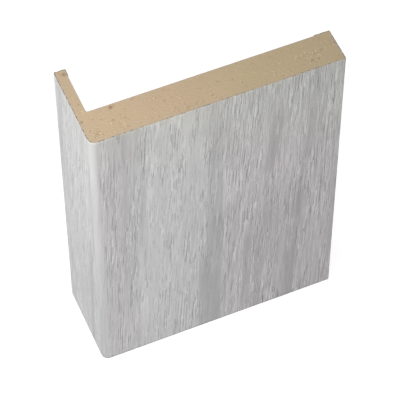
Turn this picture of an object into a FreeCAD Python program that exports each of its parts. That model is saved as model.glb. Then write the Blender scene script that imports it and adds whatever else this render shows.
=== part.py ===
"""A short length of telescopic door architrave, sawn square at both ends and standing on one of them.

The section is an L. The face board covers the joint between a door frame and the wall. The tongue runs
back from one of its edges and slides into a groove in the frame, which takes up differences in wall
thickness. One piece of fibreboard makes both, and one strip of decorative film is wrapped over it: it
starts on the tongue's inner side, goes round the tip and the rounded corner, over the face and the
far edge, and ends on the back. The rest of the back is bare board.

Section coordinates: x runs across the face from the tongue's outer side, y runs from the face into the
wall, and z runs along the moulding. Millimetres.
"""

import FreeCAD
import Part

import math
import os

# The section, over the film on the face, the tongue's outer side, its tip and the far edge
face_width = 70.0
section_depth = 25.0
board_thickness = 10.0
tongue_thickness = 3.0

# The length between the two saw cuts
sawn_length = 100.0

# The film, and how far it is turned in past the tongue's tip and past the far edge
film_thickness = 0.2
tongue_return = 2.0
back_return = 4.4

# Radii over the film, and the radius left in the bare inner angle
face_corner_radius = 2.0
tongue_tip_radius = 0.3
far_edge_radius = 0.3
inner_angle_radius = 0.5


def wrapped_corners(depth):
    """The film's route round the section, at a depth below its outer side, as (x, y, radius) corners."""
    inner_x = tongue_thickness + film_thickness - depth
    tip_y = section_depth - depth
    far_x = face_width - depth
    back_y = board_thickness + film_thickness - depth
    tip_radius = max(tongue_tip_radius - depth, 0)
    face_radius = max(face_corner_radius - depth, 0)
    far_radius = max(far_edge_radius - depth, 0)
    return [
        (inner_x, section_depth - tongue_return, 0),
        (inner_x, tip_y, tip_radius),
        (depth, tip_y, tip_radius),
        (depth, depth, face_radius),
        (far_x, depth, far_radius),
        (far_x, back_y, far_radius),
        (face_width - back_return, back_y, 0),
    ]


def bend(before, corner, after, radius):
    """The start, middle and end of the arc that rounds a corner, all three on the corner if it is sharp."""
    if radius == 0:
        return corner, corner, corner
    towards_before = (before - corner).normalize()
    towards_after = (after - corner).normalize()
    half_angle = towards_before.getAngle(towards_after) / 2
    setback = radius / math.tan(half_angle)
    to_middle = radius / math.sin(half_angle) - radius
    bisector = (towards_before + towards_after).normalize()
    return corner + towards_before * setback, corner + bisector * to_middle, corner + towards_after * setback


def outline(corners):
    """The closed section outline through (x, y, radius) corners."""
    points = [FreeCAD.Vector(x, y, 0) for x, y, _ in corners]
    bends = []
    for i, (_, _, radius) in enumerate(corners):
        after = points[(i + 1) % len(points)]
        bends.append(bend(points[i - 1], points[i], after, radius))
    edges = []
    for i, (start, middle, end) in enumerate(bends):
        last_end = bends[i - 1][2]
        edges.append(Part.LineSegment(last_end, start).toShape())
        if start != end:
            edges.append(Part.Arc(start, middle, end).toShape())
    return Part.Wire(edges)


def sawn(section):
    """The length between the saw cuts, with its origin under the middle of the section."""
    solid = Part.Face(section).extrude(FreeCAD.Vector(0, 0, sawn_length))
    solid.translate(FreeCAD.Vector(-face_width / 2, -section_depth / 2, 0))
    return solid


def fibreboard_core():
    """The L of bare board. Its back and the tongue's inner side are divided where the film ends on them."""
    inner_angle = (tongue_thickness, board_thickness, inner_angle_radius)
    return sawn(outline(wrapped_corners(film_thickness) + [inner_angle]))


def decorative_film():
    """The strip of film: out along its outer side and back along the board, one thickness all the way."""
    outer_side = wrapped_corners(0)
    board_side = wrapped_corners(film_thickness)
    return sawn(outline(outer_side + board_side[::-1]))


os.makedirs("parts", exist_ok=True)
for name, solid in (("fibreboard_core", fibreboard_core()), ("decorative_film", decorative_film())):
    solid.exportStep(f"parts/{name}.step")
    print(name, "valid", solid.isValid(), "solids", len(solid.Solids), "volume", round(solid.Volume, 1))
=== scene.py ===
"""A short length of telescopic door architrave, dressed for the camera.

The L-section core is raw fibreboard, sawn across at both ends. One strip of wood-grain film is wrapped
over it, with pores embossed where the print has them. All sizes are metres, in the frame of the model.
"""

import math
from functools import partial, reduce

import bmesh
import bpy
from bpy.props import FloatProperty, FloatVectorProperty, IntProperty, PointerProperty
from mathutils import Matrix, Vector


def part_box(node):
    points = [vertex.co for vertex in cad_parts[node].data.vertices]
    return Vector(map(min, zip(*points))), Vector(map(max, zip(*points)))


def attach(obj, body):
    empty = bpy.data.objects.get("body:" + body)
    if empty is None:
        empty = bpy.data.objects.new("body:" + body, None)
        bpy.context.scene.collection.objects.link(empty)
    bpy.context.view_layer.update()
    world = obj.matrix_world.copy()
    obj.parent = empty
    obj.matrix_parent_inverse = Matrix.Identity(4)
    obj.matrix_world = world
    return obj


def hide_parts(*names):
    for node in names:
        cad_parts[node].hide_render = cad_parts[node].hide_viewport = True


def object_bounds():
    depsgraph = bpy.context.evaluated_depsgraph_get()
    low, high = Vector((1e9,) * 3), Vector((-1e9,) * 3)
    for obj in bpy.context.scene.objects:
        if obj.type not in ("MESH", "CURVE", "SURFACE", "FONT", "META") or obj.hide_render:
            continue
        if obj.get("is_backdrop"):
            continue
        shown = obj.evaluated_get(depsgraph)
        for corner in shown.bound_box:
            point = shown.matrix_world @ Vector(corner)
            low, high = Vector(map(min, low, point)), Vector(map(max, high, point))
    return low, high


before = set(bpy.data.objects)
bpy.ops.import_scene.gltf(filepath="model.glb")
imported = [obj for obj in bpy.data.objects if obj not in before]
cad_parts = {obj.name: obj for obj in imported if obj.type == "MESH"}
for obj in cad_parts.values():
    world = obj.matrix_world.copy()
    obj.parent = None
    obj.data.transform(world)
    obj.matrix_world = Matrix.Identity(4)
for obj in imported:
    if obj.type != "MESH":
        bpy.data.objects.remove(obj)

bl_info = {
    "name": "Telescopic Architrave",
    "version": (1, 0, 0),
    "blender": (4, 5, 0),
    "location": "View3D > Sidebar > Architrave",
    "description": "Wraps the film, saws the fibreboard and sets the studio for a length of architrave",
    "category": "Object",
}

MM = 0.001

# What a division may miss a whole number by, and how close to a cut a point counts as lying on it
ROUNDING = 1e-6
ON_CUT = 1e-4 * MM

CAD_LOW, CAD_HIGH = (Vector(corner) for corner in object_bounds())
CORE_LOW = Vector(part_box("fibreboard_core")[0])


# What a user can change

def number(name, description, default, **more):
    """A plain number."""
    return FloatProperty(name=name, description=description, default=default, **more)


def tone(name, description, default):
    """A surface colour, in linear light."""
    return FloatVectorProperty(name=name, description=description, default=default, subtype="COLOR", min=0, max=1)


length = partial(number, unit="LENGTH", precision=5)
power = partial(number, unit="POWER")


class SectionSettings(bpy.types.PropertyGroup):
    """The L section. It repeats the model's sizes, so that the dressed pieces lie where its solids are."""

    face_width: length("Face width", "Across the face, over the film", CAD_HIGH.x - CAD_LOW.x)
    depth: length("Depth", "From the face to the tongue's tip, over the film", CAD_HIGH.y - CAD_LOW.y)
    sawn_length: length("Length", "Between the two saw cuts", CAD_HIGH.z - CAD_LOW.z)
    board_thickness: length("Board thickness", "From the face to the bare back", 10 * MM)
    tongue_thickness: length("Tongue thickness", "From the outer side to the bare inner side", 3 * MM)
    film_thickness: length("Film thickness", "The film alone", CORE_LOW.x - CAD_LOW.x)
    tongue_return: length("Tongue return", "How far the film is turned in past the tongue's tip", 2 * MM)
    back_return: length("Back return", "How far the film is turned in past the far edge", 4.4 * MM)
    corner_radius: length("Corner radius", "Between the tongue's outer side and the face", 2 * MM)
    edge_radius: length("Edge radius", "At the tongue's tip and the far edge", 0.3 * MM)
    inner_radius: length("Inner radius", "In the bare angle between tongue and board", 0.5 * MM)


class FilmSettings(bpy.types.PropertyGroup):
    """The printed and embossed film."""

    ground: tone("Ground", "The print's main grey", (0.514, 0.514, 0.514))
    rosy: tone("Rosy ground", "The grey of its warmer half", (0.534, 0.510, 0.522))
    creamy: tone("Creamy ground", "The grey towards the upper end", (0.519, 0.515, 0.494))
    dark: tone("Dark marks", "What the darkest marks leave of the ground's colour", (0.52, 0.52, 0.52))
    # The light marks take in both the light printed fibres and the painted highlights next to the dark fibres
    light: tone("Light marks", "The palest grey of the grain", (0.80, 0.80, 0.795))
    # Drawn dark: partly the film edge's own colour, partly painted shade for the thin shadow line along the edge
    cut: tone("Cut edge", "The film's edge where it is sawn through", (0.17, 0.16, 0.135))
    dust: tone("Dusty edge", "The same edge where board dust is smeared over it", (0.53, 0.41, 0.27))
    column: length("Column", "Mesh spacing round the section", 0.16 * MM)
    row: length("Row", "Mesh spacing along the grain", 1 * MM)
    pore_depth: length("Pore depth", "How deep the pores are embossed", 0.022 * MM)
    nick_depth: length("Nick depth", "How far the saw has chipped the film's edge", 0.05 * MM)
    seed: number("Seed", "Another draw of the grain", 3.7)


class BoardSettings(bpy.types.PropertyGroup):
    """The raw fibreboard."""

    sawn: tone("Sawn board", "The ends, where the saw has opened the fibres", (0.602, 0.455, 0.300))
    far: tone("Sawn board, far side", "The ends towards the far edge, where it is more olive", (0.583, 0.461, 0.288))
    # The rim of the sawn ends is drawn greyer and a little darker
    grey_rim: tone("Grey rim", "The rim of the sawn ends, greyer and a little darker", (0.54, 0.455, 0.345))
    sanded: tone("Sanded board", "The back and the tongue's inner side", (0.53, 0.405, 0.265))
    light_fibre: tone("Light fibres", "The palest fibre bundles", (0.80, 0.65, 0.44))
    dark_fibre: tone("Dark fibres", "The darkest fibre bundles", (0.26, 0.17, 0.095))
    bark: tone("Bark", "Specks of bark in the board", (0.28, 0.165, 0.08))
    cell: length("Cell", "Mesh spacing on the saw cuts", 0.3 * MM)
    tear_depth: length("Tear depth", "How deep the saw has torn the ends", 0.07 * MM)
    fibre_density: number("Fibres", "Fibre bundles in a square metre of a nest", 4.5e6)
    fibre_length: length("Fibre length", "The longest fibre bundle", 1.0 * MM)
    fibre_width: length("Fibre width", "The widest fibre bundle", 0.15 * MM)
    seed: IntProperty(name="Seed", description="Another scatter of the fibres", default=5)


class StageSettings(bpy.types.PropertyGroup):
    """Floor, lamps and camera."""

    key_power: power("Key lamp", "Soft lamp, front left", 0.65)
    top_power: power("Top lamp", "Soft lamp above the left side", 0.54)
    back_power: power("Back lamp", "Soft lamp, low behind the right side", 0.45)
    fill: number("Fill", "Even light from all round", 0.10)
    lens: number("Lens", "Focal length in millimetres", 203.81)


# Nodes

SHADING = "ShaderNodeTree"
SHAPING = "GeometryNodeTree"


class Wire:
    """One output of a node. Arithmetic on it adds a Math node, or a Vector Math node where it is a vector."""

    def __init__(self, socket):
        self.socket = socket
        self.tree = socket.id_data

    def __add__(self, other):
        return reckon("ADD", self, other)

    def __sub__(self, other):
        return reckon("SUBTRACT", self, other)

    def __rsub__(self, other):
        return reckon("SUBTRACT", other, self)

    def __mul__(self, other):
        return reckon("MULTIPLY", self, other)

    def __truediv__(self, other):
        return reckon("DIVIDE", self, other)

    def scaled(self, factor, offset):
        """This value times a factor, plus an offset."""
        return reckon("MULTIPLY_ADD", self, factor, offset)

    def step(self, low, high):
        """A smooth step from 0 where this value is low to 1 where it is high."""
        inputs = {"Value": self, "From Min": low, "From Max": high}
        return add(self.tree, "ShaderNodeMapRange", inputs, interpolation_type="SMOOTHSTEP")["Result"]

    def parts(self):
        """The three parts of a vector or a colour."""
        kind = "ShaderNodeSeparateColor" if self.socket.type == "RGBA" else "ShaderNodeSeparateXYZ"
        separated = add(self.tree, kind, {0: self})
        return separated[0], separated[1], separated[2]


class Outputs:
    """A node's outputs as wires, by name or number."""

    def __init__(self, node):
        self.node = node

    def __getitem__(self, name):
        return Wire(self.node.outputs[name])


def connect(value, socket):
    """Links a wire to an input, or sets the input to a plain value."""
    if isinstance(value, Wire):
        socket.id_data.links.new(value.socket, socket)
    else:
        socket.default_value = value


def add(tree, kind, inputs=None, **settings):
    """The outputs of a new node, after its settings are made and its inputs are connected by name or number."""
    node = tree.nodes.new(kind)
    for name, value in settings.items():
        setattr(node, name, value)
    for name, value in (inputs or {}).items():
        connect(value, node.inputs[name])
    return Outputs(node)


def reckon(operation, *values):
    """The result of one Math node, or of one Vector Math node where its first wire is a vector."""
    first = next(value for value in values if isinstance(value, Wire))
    kind = "ShaderNodeVectorMath" if first.socket.type == "VECTOR" else "ShaderNodeMath"
    return add(first.tree, kind, dict(enumerate(values)), operation=operation)[0]


def larger(first, second):
    """The larger of two values."""
    return reckon("MAXIMUM", first, second)


def joined(tree, x, y, z):
    """A vector made of its three parts."""
    return add(tree, "ShaderNodeCombineXYZ", {0: x, 1: y, 2: z})[0]


def noise(tree, place, scale, detail, **others):
    """Soft noise between 0 and 1, mostly near a half."""
    return add(tree, "ShaderNodeTexNoise", {"Vector": place, "Scale": scale, "Detail": detail, **others})[0]


def blend(tree, factor, first, second, mode="MIX"):
    """One colour mixed into another."""
    first, second = (colour if isinstance(colour, Wire) else (*colour, 1) for colour in (first, second))
    return add(tree, "ShaderNodeMix", {0: factor, 6: first, 7: second}, data_type="RGBA", blend_type=mode)[2]


def shaded(colour, level):
    """A colour made lighter or darker by a level, which leaves it as it is at 1."""
    grey = add(level.tree, "ShaderNodeCombineColor", {0: level, 1: level, 2: level})[0]
    return blend(level.tree, 1.0, colour, grey, "MULTIPLY")


def new_socket(tree, in_out, name, default):
    """A socket of a group. Its default is a number, or else the name of its type."""
    kind = {float: "Float", int: "Int"}.get(type(default), default)
    socket = tree.interface.new_socket(name=name, in_out=in_out, socket_type="NodeSocket" + kind)
    if kind != default:
        socket.default_value = default


def node_group(names, inputs, outputs):
    """Makes a function that wires a tree into one that gives the finished group, which is built only once.

    The group's name goes by the kind of tree. The wires that the function returns feed the outputs in order.
    """
    def decorate(wire_up):
        def group(kind):
            name = names[kind]
            if name in bpy.data.node_groups:
                return bpy.data.node_groups[name]
            tree = bpy.data.node_groups.new(name, kind)
            for socket_name, default in inputs.items():
                new_socket(tree, "INPUT", socket_name, default)
            for socket_name, socket_type in outputs.items():
                new_socket(tree, "OUTPUT", socket_name, socket_type)
            given = Outputs(tree.nodes.new("NodeGroupInput"))
            result = tree.nodes.new("NodeGroupOutput")
            for socket_name, wire in zip(outputs, wire_up(tree, given)):
                connect(wire, result.inputs[socket_name])
            return tree
        return group
    return decorate


def place_group(tree, group, **inputs):
    """The outputs of a node that holds a group, with inputs named in the group's own words."""
    node_kind = "GeometryNodeGroup" if tree.bl_idname == SHAPING else "ShaderNodeGroup"
    in_its_words = {name.replace("_", " ").title(): value for name, value in inputs.items()}
    return add(tree, node_kind, in_its_words, node_tree=group(tree.bl_idname))


@node_group(
    {SHADING: "Streaks", SHAPING: "Streaks in relief"},
    {"Vector": "Vector", "Width": 0.5 * MM, "Length": 6 * MM, "Dash": 2 * MM, "Threshold": 0.55, "Softness": 0.1,
     "Seed": 0.0},
    {"Mask": "Float", "Field": "Float"})
def streaks(tree, given):
    """Marks drawn out along the grain. The same group prints them in a material and embosses them in a mesh."""
    layer = joined(tree, 0, 0, given["Seed"])

    def drawn_out(width, reach, detail):
        return noise(tree, given["Vector"] / joined(tree, width, reach, 1) + layer, 1, detail)

    lines = drawn_out(given["Width"], given["Length"], 0.3)
    gaps = drawn_out(given["Width"] * 2, given["Dash"], 0)
    half = given["Softness"] * 0.5
    marks = lines.step(given["Threshold"] - half, given["Threshold"] + half)
    return marks * gaps.step(0.42, 0.50), lines


@node_group(
    {SHADING: "Fibres"},
    {"Vector": "Vector", "Width": 0.3 * MM, "Length": 3 * MM, "Amount": 0.2, "Seed": 0.0},
    {"Dark": "Float", "Light": "Float"})
def fibres(tree, given):
    """Straight fibres side by side along the grain. Some are printed dark, some light, the rest like the ground."""
    x, y, _ = given["Vector"].parts()
    across = x / given["Width"]
    column = reckon("FLOOR", across) + given["Seed"]
    own = add(tree, "ShaderNodeTexWhiteNoise", {"W": column}, noise_dimensions="1D")
    own_reach, own_start, _ = own["Color"].parts()
    along = own_start.scaled(40, y / (given["Length"] * own_reach.scaled(1.3, 0.5)))
    dash = joined(tree, column, reckon("FLOOR", along), 0)
    drawn = add(tree, "ShaderNodeTexWhiteNoise", {"Vector": dash}, noise_dimensions="2D")["Value"]

    def faded(place, width):
        share = reckon("FRACT", place)
        return reckon("MINIMUM", share, 1 - share).step(0, width)

    body = faded(across, 0.25) * faded(along, 0.06)
    few = given["Amount"]
    dark = drawn.step(few, few * 0.4)
    light = drawn.step(1 - few, few.scaled(-0.4, 1))
    return dark * body, light * body


@node_group(
    {SHADING: "Grain run", SHAPING: "Grain run in relief"},
    {"Vector": "Vector", "Lean": 0.052, "Middle": 50 * MM, "Wander": 0.3 * MM},
    {"Vector": "Vector"})
def grain_run(tree, given):
    """The grain's own run: it leans over, least by the far edge, and wanders a little."""
    across, along, layer = given["Vector"].parts()
    share = across.step(44 * MM, 66 * MM).scaled(-0.65, 1)
    lean = share * given["Lean"] * (along - given["Middle"])
    sway = (noise(tree, given["Vector"] * (90.0, 32.0, 1.0), 1, 1) - 0.5) * given["Wander"]
    return [joined(tree, across - lean + sway, along, layer)]


@node_group(
    {SHADING: "Band"},
    {"Vector": "Vector", "Centre": 0.0, "Half Width": 2 * MM, "Left Edge": 1 * MM, "Right Edge": 1 * MM,
     "Lean": 0.0, "Bottom": 0.0, "Top": 100 * MM, "Fade": 10 * MM, "Strength": 0.0},
    {"Shift": "Float"})
def band(tree, given):
    """One soft-edged band over the print, printed tone in most rows and painted shade in a few: a strip, leaning about
    its place half way up, that fades at both ends.
    """
    across, along, _ = given["Vector"].parts()
    centre = given["Centre"] + (along - 50 * MM) * given["Lean"]
    left, right = centre - given["Half Width"], centre + given["Half Width"]
    rises = across.step(left - given["Left Edge"], left)
    falls = across.step(right, right + given["Right Edge"])
    above = along.step(given["Bottom"] - given["Fade"], given["Bottom"])
    below = along.step(given["Top"] + given["Fade"], given["Top"])
    return [(rises - falls) * (above * below) * given["Strength"]]


@node_group(
    {SHADING: "Fibre flecks"},
    {"Vector": "Vector", "Size": 1.0 * MM, "Amount": 0.5, "Seed": 0.0},
    {"Wisps": "Float", "Dots": "Float"})
def flecks(tree, given):
    """Fibre bundles seen end on and lengthwise: curled wisps and small dots, thinly and unevenly spread."""
    size, amount, seed = given["Size"], given["Amount"], given["Seed"]
    place = given["Vector"] / joined(tree, size, size, size) + joined(tree, seed, seed, 0)
    curls = noise(tree, place, 0.9, 1, Distortion=1.2)
    ridge = reckon("ABSOLUTE", curls - 0.5).step(0.022, 0.006)
    limit = 0.75 - amount * 0.35
    spread = noise(tree, place, 0.6, 2).step(limit, limit + 0.05)
    cells = add(tree, "ShaderNodeTexVoronoi", {"Vector": place, "Scale": 1.6, "Randomness": 1.0})
    dot = cells["Distance"].step(0.24, 0.1)
    chosen = cells["Color"].parts()[0].step(1 - amount, 1)
    return ridge * spread, dot * chosen


# Materials

def new_material(name, roughness):
    """A material with its tree and its Principled shader."""
    material = bpy.data.materials.new(name)
    material.use_nodes = True
    shader = material.node_tree.nodes["Principled BSDF"]
    shader.inputs["Roughness"].default_value = roughness
    return material, material.node_tree, shader


def finish(shader, colour, height, relief):
    """Gives a shader its colour and a fine relief on its normal, relief being the rise where height is 1."""
    connect(colour, shader.inputs["Base Color"])
    bump = add(colour.tree, "ShaderNodeBump", {"Height": height, "Distance": relief, "Strength": 1.0})
    connect(bump[0], shader.inputs["Normal"])


def attribute(tree, name, output="Fac"):
    """A stored attribute inside a material."""
    return add(tree, "ShaderNodeAttribute", attribute_name=name)[output]


def object_place(tree):
    """The place on a piece, in the frame of the model."""
    return add(tree, "ShaderNodeTexCoord")["Object"]


# The film's grain lies on the strip that the film is cut from. Across it, 0 is the middle of the rounded
# corner, the face lies above 0 and the tongue's outer side below. Along it, heights are the moulding's own.

# One recipe for the pores, which are printed and embossed
PORE = {"width": 0.42 * MM, "length": 8 * MM, "dash": 3 * MM, "threshold": 0.56, "softness": 0.10}

# The far half of the face is rosy and its grain coarse. The two come in between these places.
COARSE_FROM, COARSE_FULL, ROSY_FULL = 27 * MM, 44 * MM, 42 * MM

# Layers of printed fibres: width and length in millimetres, amount, seed, strength on fine and coarse grain
FIBRE_LAYERS = [
    (0.28, 1.0, 0.20, 5.1, 0.36, 0.45),
    (0.29, 3.4, 0.20, 11.3, 0.98, 1.0),
    (0.31, 10.0, 0.14, 27.9, 0.85, 0.9),
]

# Soft bands over the print, with the unit of each column. Most are the print's own tone, and the rows marked painted
# shade darken it where the light falls off. A band that runs out over an end doesn't fade there.
BAND_COLUMNS = {"centre": MM, "half_width": MM, "left_edge": MM, "right_edge": MM, "lean": 1, "bottom": MM,
                "top": MM, "fade": MM, "strength": 1}
PRINT_AND_SHADE_BANDS = [
    (45, 14, 5, 5, 0, 25, 50, 12, -0.03),
    (6, 6, 3, 3, 0, 62, 78, 8, -0.03),
    # Painted shade: the far part of the face darker towards the lower end
    (53, 8, 6, 6, 0, -20, 44, 20, -0.05),
    # Painted shade: the whole of the tongue's outer side a little darker
    (-13.5, 11.5, 2, 1, 0, -20, 120, 10, -0.035),
    (6.5, 6, 2, 3, 0, -20, 120, 10, -0.03),
    (21, 7.5, 3, 3, 0.02, -20, 120, 10, 0.09),
    (34.3, 1.1, 1.4, 0.6, 0, 50, 84, 9, -0.12),
    (33.6, 2, 0.9, 0.8, 0, 34, 47, 6, -0.11),
    (31.8, 2.9, 0.4, 1.2, 0, -20, 24, 14, -0.19),
    (38.4, 0.5, 0.8, 0.8, 0, -20, 34, 8, -0.07),
    (46.9, 1.2, 0.7, 0.8, 0.13, 65, 83, 6, -0.16),
    (48.8, 0.8, 1, 1, 0.03, 40, 58, 6, -0.07),
    (47.3, 0.8, 0.5, 0.8, 0.02, -20, 32, 8, -0.13),
    (43.3, 0.7, 0.6, 0.8, 0.01, 4, 34, 6, -0.13),
    (60.2, 0.7, 1.2, 1.2, 0.03, 66, 120, 10, -0.1),
    (57, 1.9, 1.8, 1.4, 0.03, 41, 51, 7, -0.13),
    (57.3, 1.2, 1.8, 0.5, 0.02, -20, 30, 8, -0.13),
    (52.4, 1.3, 1, 1, 0, 10, 40, 8, -0.05),
    (58.8, 0.3, 1, 0.5, 0.04, -20, 64, 16, -0.06),
    (57.6, 0.5, 0.8, 0.8, 0.18, 55, 66, 5, -0.08),
    (54.5, 1.5, 1.5, 1.5, 0.08, 66, 86, 6, 0.08),
    (67, 2, 2, 2, 0, 55, 95, 6, 0.04),
    (68.9, 0.6, 0.5, 0.8, 0, 20, 56, 10, -0.12),
    (37.2, 1.1, 0.9, 1.8, 0.02, 57, 67, 5, 0.13),
    (9.5, 4, 3, 3, 0, 90, 120, 8, -0.06),
    (5, 3.5, 1, 3, 0, 28, 40, 10, -0.07),
    (11.4, 1.6, 1.2, 1.5, 0, 17, 32, 8, 0.09),
    (63.6, 0.8, 1.2, 1.2, 0.15, 38, 52, 5, 0.08),
    (22.2, 2, 1.5, 1.5, 0, 92, 120, 5, 0.05),
    (13, 0.5, 0.8, 0.8, 0, 46, 78, 8, -0.07),
    (8.4, 0.35, 0.6, 0.6, 0, 64, 92, 12, -0.07),
    # Painted shade: the rounded corner darker towards the lower end, so that its brightness falls away downwards
    (-0.3, 0.8, 1.2, 0.8, 0, -20, 20, 70, -0.16),
    # Painted shade: the tongue's outer side, next to the corner, darker towards the lower end
    (-6, 4.5, 8, 1, 0, -20, 10, 70, -0.09),
    (-4.2, 0.7, 0.9, 0.9, 0.06, -20, 44, 9, -0.17),
    (-2.1, 0.35, 0.5, 0.5, 0.01, 52, 84, 8, -0.14),
    (-7, 0.5, 0.6, 0.6, 0.03, 64, 120, 6, -0.07),
    (-24, 0.7, 1, 1.2, 0.07, 62, 120, 8, -0.14),
    (-21.2, 0.7, 0.9, 0.9, 0, 18, 28, 5, -0.08),
    (-14.6, 0.4, 0.7, 0.7, 0, 12, 19, 4, -0.1),
]


def band_shift(tree, strip):
    """How much all the soft bands together lighten or darken the print."""
    shifts = []
    for row in PRINT_AND_SHADE_BANDS:
        inputs = {name: value * unit for (name, unit), value in zip(BAND_COLUMNS.items(), row)}
        shifts.append(place_group(tree, band, vector=strip, **inputs)["Shift"])
    return sum(shifts[1:], shifts[0])


def fibre_marks(tree, run, drawn_out):
    """The dark and the light fibres of all the layers, with a paler copy next to each dark one as a painted highlight
    on the lit edge of its emboss.
    """
    darks, lights = [], []
    for width, length_along, amount, seed, where_fine, where_coarse in FIBRE_LAYERS:
        layer = {"width": width * MM, "length": length_along * MM, "amount": amount, "seed": seed}
        found = place_group(tree, fibres, vector=run, **layer)
        # Painted highlight: the same dark fibres, one width across, drawn paler next to each dark one
        emboss_highlight = place_group(tree, fibres, vector=run - (width * MM, 0, 0), **layer)
        strength = drawn_out.scaled(where_coarse - where_fine, where_fine)
        darks.append(found["Dark"] * strength)
        lights.append(larger(emboss_highlight["Dark"] * 0.55, found["Light"]) * strength)
    return reduce(larger, darks), reduce(larger, lights)


def film_print(film):
    """Printed film: pale, satin grey oak with dark pores, dark and light fibres and soft bands. A few of the bands are
    painted shade, and a paler copy next to each dark fibre is a painted highlight.
    """
    material, tree, shader = new_material("film_print", 0.46)
    shader.inputs["Specular IOR Level"].default_value = 0.38
    strip = attribute(tree, "strip", "Vector")
    across, along, _ = strip.parts()
    run = place_group(tree, grain_run, vector=strip)[0]
    coarser = across.step(COARSE_FROM, COARSE_FULL)
    drawn_out = larger(coarser, across.step(0, -2 * MM))

    shift = band_shift(tree, strip)
    darks, lights = fibre_marks(tree, run, drawn_out)
    pores = place_group(tree, streaks, vector=run, seed=film.seed, **PORE)["Mask"]

    def field(width, length_along, seed):
        """A wavy field between 0 and 1, mostly near a half, drawn out along the grain."""
        return place_group(tree, streaks, vector=run, width=width, length=length_along, seed=film.seed + seed)["Field"]

    # How busy the grain is: it comes in patches, keeps low in dark bands and nearly stops on the corner
    calm = shift.step(-0.05, -0.14)
    patch = field(2.6 * MM, 15 * MM, 83).step(0.40, 0.58)
    patchy = (patch - 0.5).scaled(coarser.scaled(-0.25, 0.70), 0.81)
    off_corner = reckon("ABSOLUTE", across).step(1.2 * MM, 2.2 * MM)
    busy = (patchy - calm * 0.4) * off_corner.scaled(0.7, 0.3) * coarser.scaled(0.30, 1.07)

    broad = (field(2.4 * MM, 38 * MM, 31) - 0.5) * 0.10 + (field(0.8 * MM, 20 * MM, 47) - 0.5) * 0.17
    hair = (field(0.27 * MM, 7 * MM, 71) - 0.5) * 0.48 * busy
    level = broad + hair + (shift + 1)

    by_corner = across.step(14 * MM, 8 * MM) * across.step(0, 2 * MM)
    ground = blend(tree, larger(across.step(COARSE_FROM, ROSY_FULL), by_corner * 0.6), film.ground, film.rosy)
    upper = across.scaled(0.35, along).step(82 * MM, 108 * MM)
    colour = shaded(blend(tree, upper, ground, film.creamy), level)
    # Light printed fibres and painted highlights together
    pale_marks_and_highlights = lights * drawn_out.scaled(0.18, 0.29)
    darkness = pores.scaled(0.14, darks * drawn_out.scaled(-0.09, 0.62))
    colour = blend(tree, pale_marks_and_highlights * busy, colour, film.light)
    colour = blend(tree, darkness * busy, colour, film.dark, "MULTIPLY")

    connect(pores.scaled(0.22, 0.42), shader.inputs["Roughness"])
    finish(shader, colour, noise(tree, strip, 9000, 1) * 0.25 - darks, 0.012 * MM)
    return material


def film_cut_edge(film):
    """The film sawn through: a thin dark line, partly its own colour and partly painted shade, smeared over with board
    dust along the face.
    """
    material, tree, shader = new_material("film_cut_edge", 0.7)
    place = object_place(tree)
    on_face = place.parts()[1].step(CAD_LOW.y + 0.6 * MM, CAD_LOW.y + 0.3 * MM)
    patches = noise(tree, place, 1500, 1)
    dusty = on_face.scaled(0.08, patches).step(0.47, 0.56)
    finish(shader, blend(tree, dusty, film.cut, film.dust), patches, 0.02 * MM)
    return material


# Places on an end, in millimetres from the section's outer corner: specks of bark as x, y and radius, and
# nests of fibre bundles as x, y and reach
BARK = [(9.1, 9.0, 0.8), (2.3, 23.4, 0.9), (0.7, 7.4, 0.6)]
NESTS = [
    (3.0, 2.2, 1.5), (5.2, 5.8, 1.0), (7.4, 4.8, 0.8), (10.5, 5.1, 1.0), (10.2, 2.4, 1.6), (7.0, 1.1, 0.9),
    (13.8, 1.8, 0.9), (18.5, 4.4, 0.7), (24.8, 5.5, 0.6), (24.0, 1.8, 1.0), (26.6, 1.2, 0.7), (31.5, 5.8, 0.6),
    (34.5, 2.6, 1.2), (37.0, 6.0, 0.5), (42.3, 3.4, 0.8), (44.5, 5.6, 0.5), (51.0, 2.8, 0.7), (53.5, 1.6, 0.6),
    (58.5, 8.2, 0.9), (58.6, 5.2, 0.8), (61.2, 5.0, 2.2), (62.6, 2.6, 1.9), (64.2, 4.6, 1.7), (66.5, 5.4, 0.7),
]


def nest_at(x, y):
    """How thick the fibre bundles lie at a place on an end: 1 in the middle of a nest, 0 outside it."""
    return max(max(0.0, 1 - math.hypot(x / MM - nest_x, y / MM - nest_y) / reach) for nest_x, nest_y, reach in NESTS)


def board_colour(tree, place, ground, board, amount, contrast, share=1.0):
    """Fibreboard: a mottled ground with light and dark fibre bundles over it. Gives colour, fleck mask and grain."""
    grain = noise(tree, place, 2600, 2)
    mottled = (noise(tree, place, 130, 3) - 0.5).scaled(0.10, 1)
    colour = shaded(ground, (grain - 0.5).scaled(contrast, mottled))

    def mask(size, seed):
        found = place_group(tree, flecks, vector=place, size=size, amount=amount, seed=seed)
        return larger(found["Wisps"], found["Dots"]) * share

    light, dark = mask(0.9 * MM, 3.1), mask(0.7 * MM, 17.4)
    colour = blend(tree, light * 0.6, colour, board.light_fibre)
    colour = blend(tree, dark * 0.45, colour, board.dark_fibre)
    return colour, light - dark, grain


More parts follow.
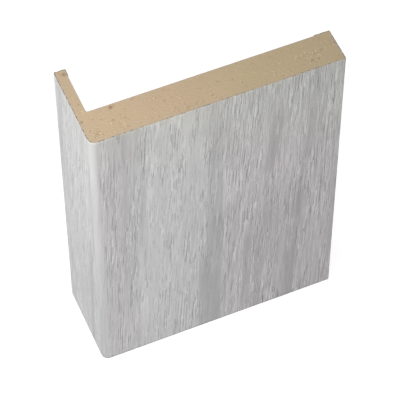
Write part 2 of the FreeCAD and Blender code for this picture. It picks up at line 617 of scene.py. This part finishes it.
def sawn_board(board):
    """The ends as the saw left them: open, matt and flecked, with a few specks of bark in the upper one."""
    material, tree, shader = new_material("sawn_board", 0.88)
    place = object_place(tree)
    x, y, _ = place.parts()
    ground = blend(tree, x.step(CAD_LOW.x + 28 * MM, CAD_LOW.x + 48 * MM), board.sawn, board.far)
    on_tongue = y.step(CAD_LOW.y + 9 * MM, CAD_LOW.y + 16 * MM)
    ground = blend(tree, on_tongue * 0.42, ground, board.sanded)
    share = attribute(tree, "nest").step(0, 0.6).scaled(0.7, 0.3)
    colour, fleck_mask, grain = board_colour(tree, place, ground, board, 0.45, 0.06, share)
    for bark_x, bark_y, radius in BARK:
        centre = (CAD_LOW.x + bark_x * MM, CAD_LOW.y + bark_y * MM, CAD_HIGH.z)
        away = add(tree, "ShaderNodeVectorMath", {0: place, 1: centre}, operation="DISTANCE")["Value"]
        speck = away.step(radius * MM, 0.45 * (radius * MM))
        colour = blend(tree, speck * 0.6, colour, board.bark)
    # Greyer and a little darker within 0.9 mm of the sides
    rim = attribute(tree, "to_side").step(0.9 * MM, 0)
    colour = blend(tree, rim * 0.55, colour, board.grey_rim)
    finish(shader, colour, fleck_mask.scaled(0.4, grain), 0.011 * MM)
    return material


def sanded_board(board):
    """The back and the tongue's inner side: closed by sanding, with faint scratches along the length."""
    material, tree, shader = new_material("sanded_board", 0.8)
    place = object_place(tree)
    colour, _, grain = board_colour(tree, place, board.sanded, board, 0.3, 0.14)
    x, y, z = place.parts()
    scratches = place_group(tree, streaks, vector=joined(tree, x + y, z, 0), width=0.25 * MM, length=14 * MM,
                            threshold=0.6, softness=0.1, seed=8.0)["Mask"]
    colour = blend(tree, scratches * 0.10, colour, board.light_fibre)
    finish(shader, colour, grain * 0.5 - scratches, 0.008 * MM)
    return material


def loose_fibre(board):
    """Single fibre bundles on the saw cuts, each with its own tint between pale and dark."""
    material, tree, shader = new_material("loose_fibre", 0.85)
    pale = blend(tree, 0.9, board.sawn, board.light_fibre)
    dark = blend(tree, 0.46, board.sawn, board.dark_fibre)
    colour = blend(tree, attribute(tree, "tint").step(0.36, 0.62), dark, pale)
    finish(shader, colour, noise(tree, object_place(tree), 5000, 1), 0.01 * MM)
    return material


# Meshes of the bare section

def wrap_corners(section, depth):
    """The film's route at a depth below its outer side, as (x, y, radius) corners in the model's frame."""
    left, front = CAD_LOW.x, CAD_LOW.y
    inner_x = left + section.tongue_thickness + section.film_thickness - depth
    tip_y = front + section.depth - depth
    far_x = left + section.face_width - depth
    back_y = front + section.board_thickness + section.film_thickness - depth
    edge = section.edge_radius - depth
    return [
        (inner_x, front + section.depth - section.tongue_return, 0),
        (inner_x, tip_y, edge),
        (left + depth, tip_y, edge),
        (left + depth, front + depth, section.corner_radius - depth),
        (far_x, front + depth, edge),
        (far_x, back_y, edge),
        (left + section.face_width - section.back_return, back_y, 0),
    ]


def bend_points(before, corner, after, radius, steps=8):
    """Points round a corner with their outward normals. A sharp corner is one point."""
    arriving = (corner - before).normalized()
    leaving = (after - corner).normalized()
    outward = Vector((arriving.y, -arriving.x))
    if radius <= 0:
        return [(corner, outward)]
    turn = arriving.angle_signed(leaving)
    setback = radius * math.tan(abs(turn) / 2)
    side = 1 if turn < 0 else -1
    centre = corner - arriving * setback - outward * radius * side
    points = []
    for i in range(steps + 1):
        normal = Matrix.Rotation(-turn * i / steps, 2) @ outward
        points.append((centre + normal * radius * side, normal))
    return points


def trace(corners, spacing, closed=False):
    """Points along a route with outward normals, at most a spacing apart on the straight runs."""
    places = [Vector((x, y)) for x, y, _ in corners]
    count = len(places)
    stops = []
    for i, (_, _, radius) in enumerate(corners):
        before = places[i - 1] if closed or i > 0 else places[i] - (places[i + 1] - places[i])
        after = places[(i + 1) % count] if closed or i < count - 1 else places[i] + (places[i] - places[i - 1])
        stops.append(bend_points(before, places[i], after, radius))
    points = []
    for i, stop in enumerate(stops):
        points += stop
        if i == count - 1 and not closed:
            break
        start, end = stop[-1][0], stops[(i + 1) % count][0][0]
        run = end - start
        pieces = max(1, math.ceil(run.length / spacing - ROUNDING))
        normal = Vector((run.y, -run.x)).normalized()
        points += [(start + run * k / pieces, normal) for k in range(1, pieces)]
    return points


def write_attribute(mesh, name, values):
    """Stores a vector or a number for each point, or a yes or no for each face."""
    if isinstance(values[0], tuple):
        flat = [part for value in values for part in value]
        mesh.attributes.new(name, "FLOAT_VECTOR", "POINT").data.foreach_set("vector", flat)
    else:
        kind, domain = ("BOOLEAN", "FACE") if isinstance(values[0], bool) else ("FLOAT", "POINT")
        mesh.attributes.new(name, kind, domain).data.foreach_set("value", values)


def film_band(section, film):
    """The film as a closed strip, finely divided outside, with its place on the strip kept for the grain."""
    points = trace(wrap_corners(section, 0), film.column)
    corner = Vector((CAD_LOW.x, CAD_LOW.y))
    rows = round(section.sawn_length / film.row)
    heights = [CAD_LOW.z + section.sawn_length * i / rows for i in range(rows + 1)]
    arcs = [0.0]
    for (last, _), (point, _) in zip(points, points[1:]):
        arcs.append(arcs[-1] + (point - last).length)
    middle = min(range(len(points)), key=lambda j: (points[j][0] - corner).length)
    arcs = [arc - arcs[middle] for arc in arcs]
    last_column = len(points) - 1

    def vertex(point, normal, arc, z, relief, rim):
        return (point.x, point.y, z), (arc, z, 0.0), (normal.x, normal.y, 0.0), relief, rim

    vertices = []
    for j, (point, normal) in enumerate(points):
        relief = 0.0 if j in (0, last_column) else 1.0
        rims = [-1.0] + [0.0] * (rows - 1) + [1.0]
        vertices += [vertex(point, normal, arcs[j], z, relief, rim) for z, rim in zip(heights, rims)]
    first_inner = len(vertices)
    for j, (point, normal) in enumerate(points):
        inner_point = point - normal * section.film_thickness
        vertices += [vertex(inner_point, normal, arcs[j], z, 0.0, 0.0) for z in (heights[0], heights[-1])]

    def outer(j, i):
        return j * (rows + 1) + i

    def inner(j, top):
        return first_inner + 2 * j + top

    faces, cut = [], []
    for j in range(last_column):
        faces += [(outer(j, i), outer(j + 1, i), outer(j + 1, i + 1), outer(j, i + 1)) for i in range(rows)]
        cut += [False] * rows
        faces.append((inner(j, 0), inner(j, 1), inner(j + 1, 1), inner(j + 1, 0)))
        faces.append((outer(j, rows), outer(j + 1, rows), inner(j + 1, 1), inner(j, 1)))
        faces.append((outer(j + 1, 0), outer(j, 0), inner(j, 0), inner(j + 1, 0)))
        cut += [True] * 3
    faces.append((*(outer(0, i) for i in range(rows + 1)), inner(0, 1), inner(0, 0)))
    faces.append((inner(last_column, 0), inner(last_column, 1), *(outer(last_column, i) for i in range(rows, -1, -1))))
    cut += [True] * 2

    places, strip, outward, relief, rim = zip(*vertices)
    mesh = bpy.data.meshes.new("film_wrap")
    mesh.from_pydata(places, [], faces)
    for name, values in (("strip", strip), ("outward", outward), ("relief", relief), ("rim", rim), ("cut", cut)):
        write_attribute(mesh, name, values)
    mesh.polygons.foreach_set("use_smooth", [not flat for flat in cut])
    return mesh


def sawn_prism(section, board):
    """The core as a closed prism, with a fine net of faces on each saw cut and plain sides between them."""
    corners = wrap_corners(section, section.film_thickness)
    inner_angle = (CAD_LOW.x + section.tongue_thickness, CAD_LOW.y + section.board_thickness, section.inner_radius)
    undivided = section.face_width + section.depth
    points = [point for point, _ in trace(corners + [inner_angle], undivided, closed=True)]
    top = CAD_LOW.z + section.sawn_length
    net = bmesh.new()
    net.faces.new([net.verts.new((point.x, point.y, top)) for point in points])
    low = Vector((min(point.x for point in points), min(point.y for point in points), 0))
    high = Vector((max(point.x for point in points), max(point.y for point in points), 0))
    for axis in (0, 1):
        span = high[axis] - low[axis]
        pieces = round(span / board.cell)
        normal = Vector((axis == 0, axis == 1, 0))
        for k in range(1, pieces):
            cut_at = low + normal * (span * k / pieces)
            geometry = net.verts[:] + net.edges[:] + net.faces[:]
            bmesh.ops.bisect_plane(net, geom=geometry, dist=ON_CUT, plane_co=cut_at, plane_no=normal)
    drawn = bmesh.ops.extrude_face_region(net, geom=net.faces[:], use_keep_orig=True)
    lower = [item for item in drawn["geom"] if isinstance(item, bmesh.types.BMVert)]
    bmesh.ops.translate(net, verts=lower, vec=(0, 0, -section.sawn_length))
    bmesh.ops.recalc_face_normals(net, faces=net.faces[:])
    mesh = bpy.data.meshes.new("sawn_core")
    net.to_mesh(mesh)
    net.free()
    middle = CAD_LOW.z + section.sawn_length / 2
    places = [vertex.co for vertex in mesh.vertices]
    write_attribute(mesh, "saw_side", [1.0 if place.z > middle else -1.0 for place in places])
    write_attribute(mesh, "nest", [nest_at(place.x - CAD_LOW.x, place.y - CAD_LOW.y) for place in places])
    write_attribute(mesh, "sawn", [abs(face.normal.z) > 0.5 for face in mesh.polygons])
    return mesh


# Trees that shape the meshes

def named(tree, name, kind="FLOAT"):
    """A stored attribute inside a geometry tree."""
    return add(tree, "GeometryNodeInputNamedAttribute", {"Name": name}, data_type=kind)["Attribute"]


def stored(tree, geometry, name, value, domain="POINT"):
    """Geometry that keeps a number under a name."""
    inputs = {"Geometry": geometry, "Name": name, "Value": value}
    return add(tree, "GeometryNodeStoreNamedAttribute", inputs, data_type="FLOAT", domain=domain)[0]


def moved(tree, geometry, offset):
    """Geometry with each point moved by its offset."""
    return add(tree, "GeometryNodeSetPosition", {"Geometry": geometry, "Offset": offset})[0]


def coated(tree, geometry, material, selection=True):
    """Geometry with a material on it, or on the selected faces."""
    inputs = {"Geometry": geometry, "Selection": selection, "Material": material}
    return add(tree, "GeometryNodeSetMaterial", inputs)[0]


def realized(tree, geometry):
    """Geometry with its instances made real."""
    return add(tree, "GeometryNodeRealizeInstances", {"Geometry": geometry})[0]


def way_to_side(tree, core):
    """How far a point lies from the sides of the core."""
    inputs = {"Geometry": core, "Selection": named(tree, "sawn", "BOOLEAN")}
    sides = add(tree, "GeometryNodeSeparateGeometry", inputs, domain="FACE")["Inverted"]
    return add(tree, "GeometryNodeProximity", {0: sides}, target_element="FACES")["Distance"]


@node_group(
    {SHAPING: "Emboss the film"},
    {"Geometry": "Geometry", "Pore Depth": 0.02 * MM, "Nick Depth": 0.05 * MM, "Seed": 0.0, "Print": "Material",
     "Cut Edge": "Material"},
    {"Geometry": "Geometry"})
def emboss_tree(tree, given):
    """Sinks the pores into the film in register with the print, and nicks its sawn edges."""
    strip = named(tree, "strip", "FLOAT_VECTOR")
    run = place_group(tree, grain_run, vector=strip)[0]
    pores = place_group(tree, streaks, vector=run, seed=given["Seed"], **PORE)["Mask"]
    depth = pores * named(tree, "relief") * given["Pore Depth"]
    outward = named(tree, "outward", "FLOAT_VECTOR")
    sunk = add(tree, "ShaderNodeVectorMath", {0: outward, "Scale": depth * -1}, operation="SCALE")["Vector"]
    chips = place_group(tree, streaks, vector=strip, width=0.9 * MM, length=60 * MM, threshold=0.56, softness=0.16,
                        seed=41.0)["Mask"]
    chipped = chips * named(tree, "rim") * given["Nick Depth"]
    shaped = moved(tree, given["Geometry"], sunk + joined(tree, 0, 0, chipped * -1))
    printed = coated(tree, realized(tree, shaped), given["Print"])
    return [coated(tree, printed, given["Cut Edge"], named(tree, "cut", "BOOLEAN"))]


@node_group(
    {SHAPING: "Tear the saw cuts"},
    {"Geometry": "Geometry", "Tear Depth": 0.07 * MM, "Sawn": "Material", "Sanded": "Material"},
    {"Geometry": "Geometry"})
def tear_tree(tree, given):
    """Roughens the saw cuts: shallow hollows between fibre bundles and a few deeper tears."""
    place = add(tree, "GeometryNodeInputPosition")[0]
    hollows = noise(tree, place, 1400, 2).step(0.35, 0.7).scaled(0.5, 0.2)
    tears = noise(tree, place, 420, 1).step(0.62, 0.75) * 0.3
    inward = (hollows + tears) * given["Tear Depth"] * named(tree, "saw_side") * -1
    measured = stored(tree, given["Geometry"], "to_side", way_to_side(tree, given["Geometry"]))
    torn = moved(tree, measured, joined(tree, 0, 0, inward))
    sanded = coated(tree, realized(tree, torn), given["Sanded"])
    return [coated(tree, sanded, given["Sawn"], named(tree, "sawn", "BOOLEAN"))]


@node_group(
    {SHAPING: "Scatter the fibres"},
    {"Geometry": "Geometry", "Density": 1e6, "Length": 1.3 * MM, "Width": 0.13 * MM, "Lowest": 0.0, "Highest": 0.1,
     "Seed": 0, "Finish": "Material"},
    {"Geometry": "Geometry"})
def fibre_tree(tree, given):
    """Scatters bowed, pointed fibre bundles over the saw cuts and shaves them off at the saw's plane."""
    core = given["Geometry"]
    scattered = add(tree, "GeometryNodeDistributePointsOnFaces", {
        "Mesh": core, "Selection": named(tree, "sawn", "BOOLEAN"), "Density": given["Density"],
        "Seed": given["Seed"]})
    measured = stored(tree, scattered["Points"], "room", way_to_side(tree, core) - given["Width"] * 1.5)
    room = named(tree, "room")

    def drawn(low, high, draw):
        """A random number for each bundle. Each draw has a number of its own."""
        seed = add(tree, "FunctionNodeFloatToInt", {0: given["Seed"] + draw})[0]
        node = add(tree, "FunctionNodeRandomValue", data_type="FLOAT").node
        ends = [socket for socket in node.inputs if socket.enabled and socket.name in ("Min", "Max")]
        for value, socket in zip((low, high, seed), (*ends, node.inputs["Seed"])):
            connect(value, socket)
        return Wire(next(socket for socket in node.outputs if socket.enabled))

    # A bundle stays where the draw falls in a nest, or now and then outside it, and has room before the side
    chance = named(tree, "nest").step(0, 0.5).scaled(0.96, 0.04)
    bare = reckon("GREATER_THAN", drawn(0, 1, 5), chance)
    cramped = add(tree, "FunctionNodeCompare", {0: room - bare, 1: 0.1 * MM}, operation="LESS_THAN")[0]
    spots = add(tree, "GeometryNodeDeleteGeometry", {"Geometry": measured, "Selection": cramped}, domain="POINT")[0]

    # One bundle, a unit long and a unit wide
    line = add(tree, "GeometryNodeCurvePrimitiveLine", {"Start": (-0.5, 0, 0), "End": (0.5, 0, 0)})[0]
    points = add(tree, "GeometryNodeResampleCurve", {"Curve": line, "Count": 5})[0]
    from_middle = add(tree, "GeometryNodeSplineParameter")["Factor"] * 2 - 1
    fullness = 1 - from_middle * from_middle
    bowed = moved(tree, points, joined(tree, 0, fullness * 0.9, 0))
    section = add(tree, "GeometryNodeCurvePrimitiveCircle", {"Resolution": 4, "Radius": 0.5})[0]
    thread = add(tree, "GeometryNodeCurveToMesh", {
        "Curve": bowed, "Profile Curve": section, "Scale": fullness.scaled(0.75, 0.25), "Fill Caps": True})[0]

    long = reckon("MINIMUM", drawn(0.2, 1.0, 1) * given["Length"], room * 2)
    wide = drawn(0.5, 1.0, 2) * given["Width"]
    turn = add(tree, "FunctionNodeEulerToRotation", {0: joined(tree, 0, 0, drawn(0, math.tau, 3))})[0]
    facing = add(tree, "FunctionNodeRotateRotation", {"Rotation": scattered["Rotation"], "Rotate By": turn},
                 rotation_space="LOCAL")[0]
    spread = add(tree, "GeometryNodeInstanceOnPoints", {
        "Points": spots, "Instance": thread, "Rotation": facing, "Scale": joined(tree, long, wide, wide * 0.5)})[0]
    bundles = realized(tree, stored(tree, spread, "tint", drawn(0, 1, 4), "INSTANCE"))

    x, y, z = add(tree, "GeometryNodeInputPosition")[0].parts()
    shaved = add(tree, "ShaderNodeClamp", {0: z, 1: given["Lowest"], 2: given["Highest"]})[0]
    level = add(tree, "GeometryNodeSetPosition", {"Geometry": bundles, "Position": joined(tree, x, y, shaved)})[0]
    return [coated(tree, level, given["Finish"])]


def in_scene(name, data):
    """A new object in the scene."""
    thing = bpy.data.objects.new(name, data)
    bpy.context.scene.collection.objects.link(thing)
    return thing


def run_tree(name, mesh, group, **inputs):
    """Runs a geometry tree on a mesh and returns the result as an object with a plain mesh of its own."""
    tree = group(SHAPING)
    draft = in_scene(name + "_draft", mesh)
    modifier = draft.modifiers.new("tree", "NODES")
    modifier.node_group = tree
    for item in tree.interface.items_tree:
        key = item.name.lower().replace(" ", "_")
        if item.in_out == "INPUT" and key in inputs:
            modifier[item.identifier] = inputs[key]
    evaluated = draft.evaluated_get(bpy.context.evaluated_depsgraph_get())
    finished_mesh = bpy.data.meshes.new_from_object(evaluated)
    finished_mesh.name = name
    piece = in_scene(name, finished_mesh)
    draft.modifiers.remove(modifier)
    bpy.data.objects.remove(draft)
    return piece


def must_lie_on(piece, node, leeway=0.15 * MM):
    """Stops the build where a dressed piece has left the solid that it stands for."""
    low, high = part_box(node)
    points = [vertex.co for vertex in piece.data.vertices]
    for axis in range(3):
        reach = min(p[axis] for p in points), max(p[axis] for p in points)
        if abs(reach[0] - low[axis]) > leeway or abs(reach[1] - high[axis]) > leeway:
            raise RuntimeError(f"{piece.name} doesn't lie on {node} along axis {axis}: {reach}")


# Steps of the making

class ARCHITRAVE_OT_wrap_film(bpy.types.Operator):
    """Wraps the printed film round the section and embosses its pores"""

    bl_idname = "architrave.wrap_film"
    bl_label = "Wrap the film"
    bl_options = {"REGISTER", "UNDO"}

    def execute(self, context):
        section = context.scene.architrave_section
        film = context.scene.architrave_film
        piece = run_tree("film_wrap", film_band(section, film), emboss_tree, pore_depth=film.pore_depth,
                         nick_depth=film.nick_depth, seed=film.seed, print=film_print(film),
                         cut_edge=film_cut_edge(film))
        must_lie_on(piece, "decorative_film")
        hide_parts("decorative_film")
        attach(piece, "root")
        return {"FINISHED"}


class ARCHITRAVE_OT_saw_core(bpy.types.Operator):
    """Makes the fibreboard core, with torn fibres on its two saw cuts"""

    bl_idname = "architrave.saw_core"
    bl_label = "Saw the core"
    bl_options = {"REGISTER", "UNDO"}

    def execute(self, context):
        section = context.scene.architrave_section
        board = context.scene.architrave_board
        core = run_tree("sawn_core", sawn_prism(section, board), tear_tree, tear_depth=board.tear_depth,
                        sawn=sawn_board(board), sanded=sanded_board(board))
        must_lie_on(core, "fibreboard_core")
        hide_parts("fibreboard_core")
        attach(core, "root")
        return {"FINISHED"}


class ARCHITRAVE_OT_scatter_fibres(bpy.types.Operator):
    """Scatters single fibre bundles over the two saw cuts of the core"""

    bl_idname = "architrave.scatter_fibres"
    bl_label = "Scatter the fibres"
    bl_options = {"REGISTER", "UNDO"}

    def execute(self, context):
        board = context.scene.architrave_board
        core = bpy.data.objects["sawn_core"]
        bundles = run_tree("loose_fibres", core.data.copy(), fibre_tree, density=board.fibre_density,
                           length=board.fibre_length, width=board.fibre_width, lowest=CAD_LOW.z,
                           highest=CAD_HIGH.z, seed=board.seed, finish=loose_fibre(board))
        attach(bundles, "root")
        return {"FINISHED"}


# Each lamp's name, the setting that holds its power, its width and its place from the moulding's middle
LAMPS = [
    ("key_lamp", "key_power", 0.20, (-0.215, -0.221, 0.072)),
    ("top_lamp", "top_power", 0.20, (-0.14, -0.03, 0.24)),
    ("back_lamp", "back_power", 0.12, (0.26, 0.30, 0.025)),
]

# The camera's heading, downward tilt and roll, the point that they turn about, and its place from there
# along its own right, up and forward
CAMERA_HEADING, CAMERA_TILT, CAMERA_ROLL = (math.radians(angle) for angle in (-23.155, 54.013, -0.098))
CAMERA_PIVOT = Vector((0, -12.5 * MM, 35 * MM))
CAMERA_RIGHT, CAMERA_UP, CAMERA_FORWARD = -5.049 * MM, 13.437 * MM, -619.08 * MM

FLOOR_REACH = 4.0
FLOOR_GAP = 0.02 * MM


def seen_directly(tree):
    """1 for what the camera, a reflection or clear glass shows, 0 for what only lights other things."""
    path = add(tree, "ShaderNodeLightPath")
    return larger(larger(path["Is Camera Ray"], path["Is Glossy Ray"]), path["Is Transmission Ray"])


class ARCHITRAVE_OT_set_stage(bpy.types.Operator):
    """Lays the floor and sets the lamps, the surroundings and the camera"""

    bl_idname = "architrave.set_stage"
    bl_label = "Set the stage"
    bl_options = {"REGISTER", "UNDO"}

    def execute(self, context):
        stage = context.scene.architrave_stage
        self.lay_floor()
        for name, setting, width, offset in LAMPS:
            self.hang_lamp(name, getattr(stage, setting), width, Vector(offset))
        self.surround(stage.fill)
        self.set_camera(stage.lens)
        context.scene.view_settings.view_transform = "Standard"
        return {"FINISHED"}

    def lay_floor(self):
        """A plain pale floor, just clear of the lower saw cut, which is white to the eye and keeps a shadow."""
        mesh = bpy.data.meshes.new("floor")
        corners = ((-1, -1), (1, -1), (1, 1), (-1, 1))
        vertices = [(x * FLOOR_REACH, y * FLOOR_REACH, CAD_LOW.z - FLOOR_GAP) for x, y in corners]
        mesh.from_pydata(vertices, [], [(0, 1, 2, 3)])
        floor = in_scene("floor", mesh)
        material, tree, shader = new_material("floor_paper", 0.9)
        shown = seen_directly(tree)
        connect(blend(tree, shown, (0.72, 0.72, 0.72), (0.20, 0.20, 0.20)), shader.inputs["Base Color"])
        shader.inputs["Emission Color"].default_value = (1, 1, 1, 1)
        connect(shown * 0.92, shader.inputs["Emission Strength"])
        mesh.materials.append(material)
        floor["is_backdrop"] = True

    def hang_lamp(self, name, watts, width, offset):
        """A square soft lamp, turned to the middle of the moulding."""
        data = bpy.data.lights.new(name, "AREA")
        data.energy = watts
        data.size = width
        target = (CAD_LOW + CAD_HIGH) / 2
        place = target + offset
        facing = (target - place).to_track_quat("-Z", "Y").to_matrix().to_4x4()
        in_scene(name, data).matrix_world = Matrix.Translation(place) @ facing

    def surround(self, fill):
        """White to the eye, and an even, weak light on the part."""
        world = bpy.data.worlds.new("studio")
        bpy.context.scene.world = world
        world.use_nodes = True
        background = world.node_tree.nodes["Background"]
        background.inputs["Color"].default_value = (1, 1, 1, 1)
        connect(larger(seen_directly(world.node_tree), fill), background.inputs["Strength"])

    def set_camera(self, lens):
        """The camera, high up in front of the face and to the left of it."""
        data = bpy.data.cameras.new("camera")
        data.lens = lens
        data.sensor_width = 36
        camera = in_scene("camera", data)
        level = Vector((math.cos(CAMERA_HEADING), math.sin(CAMERA_HEADING), 0))
        look = Vector((-math.sin(CAMERA_HEADING) * math.cos(CAMERA_TILT),
                       math.cos(CAMERA_HEADING) * math.cos(CAMERA_TILT), -math.sin(CAMERA_TILT)))
        right = Matrix.Rotation(-CAMERA_ROLL, 3, look) @ level
        up = right.cross(look)
        place = CAMERA_PIVOT + right * CAMERA_RIGHT + up * CAMERA_UP + look * CAMERA_FORWARD
        turned = Matrix((right, up, -look)).transposed().to_4x4()
        camera.matrix_world = Matrix.Translation(place) @ turned
        bpy.context.scene.camera = camera


# What each group of settings is called on the scene, its class, and the operators that read it
STEPS = {
    "architrave_section": (SectionSettings, ()),
    "architrave_film": (FilmSettings, (ARCHITRAVE_OT_wrap_film,)),
    "architrave_board": (BoardSettings, (ARCHITRAVE_OT_saw_core, ARCHITRAVE_OT_scatter_fibres)),
    "architrave_stage": (StageSettings, (ARCHITRAVE_OT_set_stage,)),
}


class ARCHITRAVE_PT_panel(bpy.types.Panel):
    """Sizes, colours and steps of the architrave"""

    bl_label = "Architrave"
    bl_idname = "ARCHITRAVE_PT_panel"
    bl_space_type = "VIEW_3D"
    bl_region_type = "UI"
    bl_category = "Architrave"

    def draw(self, context):
        for settings_name, (_, operators) in STEPS.items():
            settings = getattr(context.scene, settings_name)
            box = self.layout.box()
            for name in settings.bl_rna.properties.keys():
                if name not in ("rna_type", "name"):
                    box.prop(settings, name)
            for operator in operators:
                box.operator(operator.bl_idname)


CLASSES = [item for settings, operators in STEPS.values() for item in (settings, *operators)] + [ARCHITRAVE_PT_panel]


def register():
    """Makes the settings, the operators and the panel known to Blender."""
    for item in CLASSES:
        bpy.utils.register_class(item)
    for name, (settings, _) in STEPS.items():
        setattr(bpy.types.Scene, name, PointerProperty(type=settings))


def unregister():
    """Takes them out again."""
    for name in STEPS:
        delattr(bpy.types.Scene, name)
    for item in reversed(CLASSES):
        bpy.utils.unregister_class(item)


def main():
    """Makes the architrave step by step."""
    register()
    bpy.ops.architrave.wrap_film()
    bpy.ops.architrave.saw_core()
    bpy.ops.architrave.scatter_fibres()
    bpy.ops.architrave.set_stage()


if __name__ == "__main__":
    main()
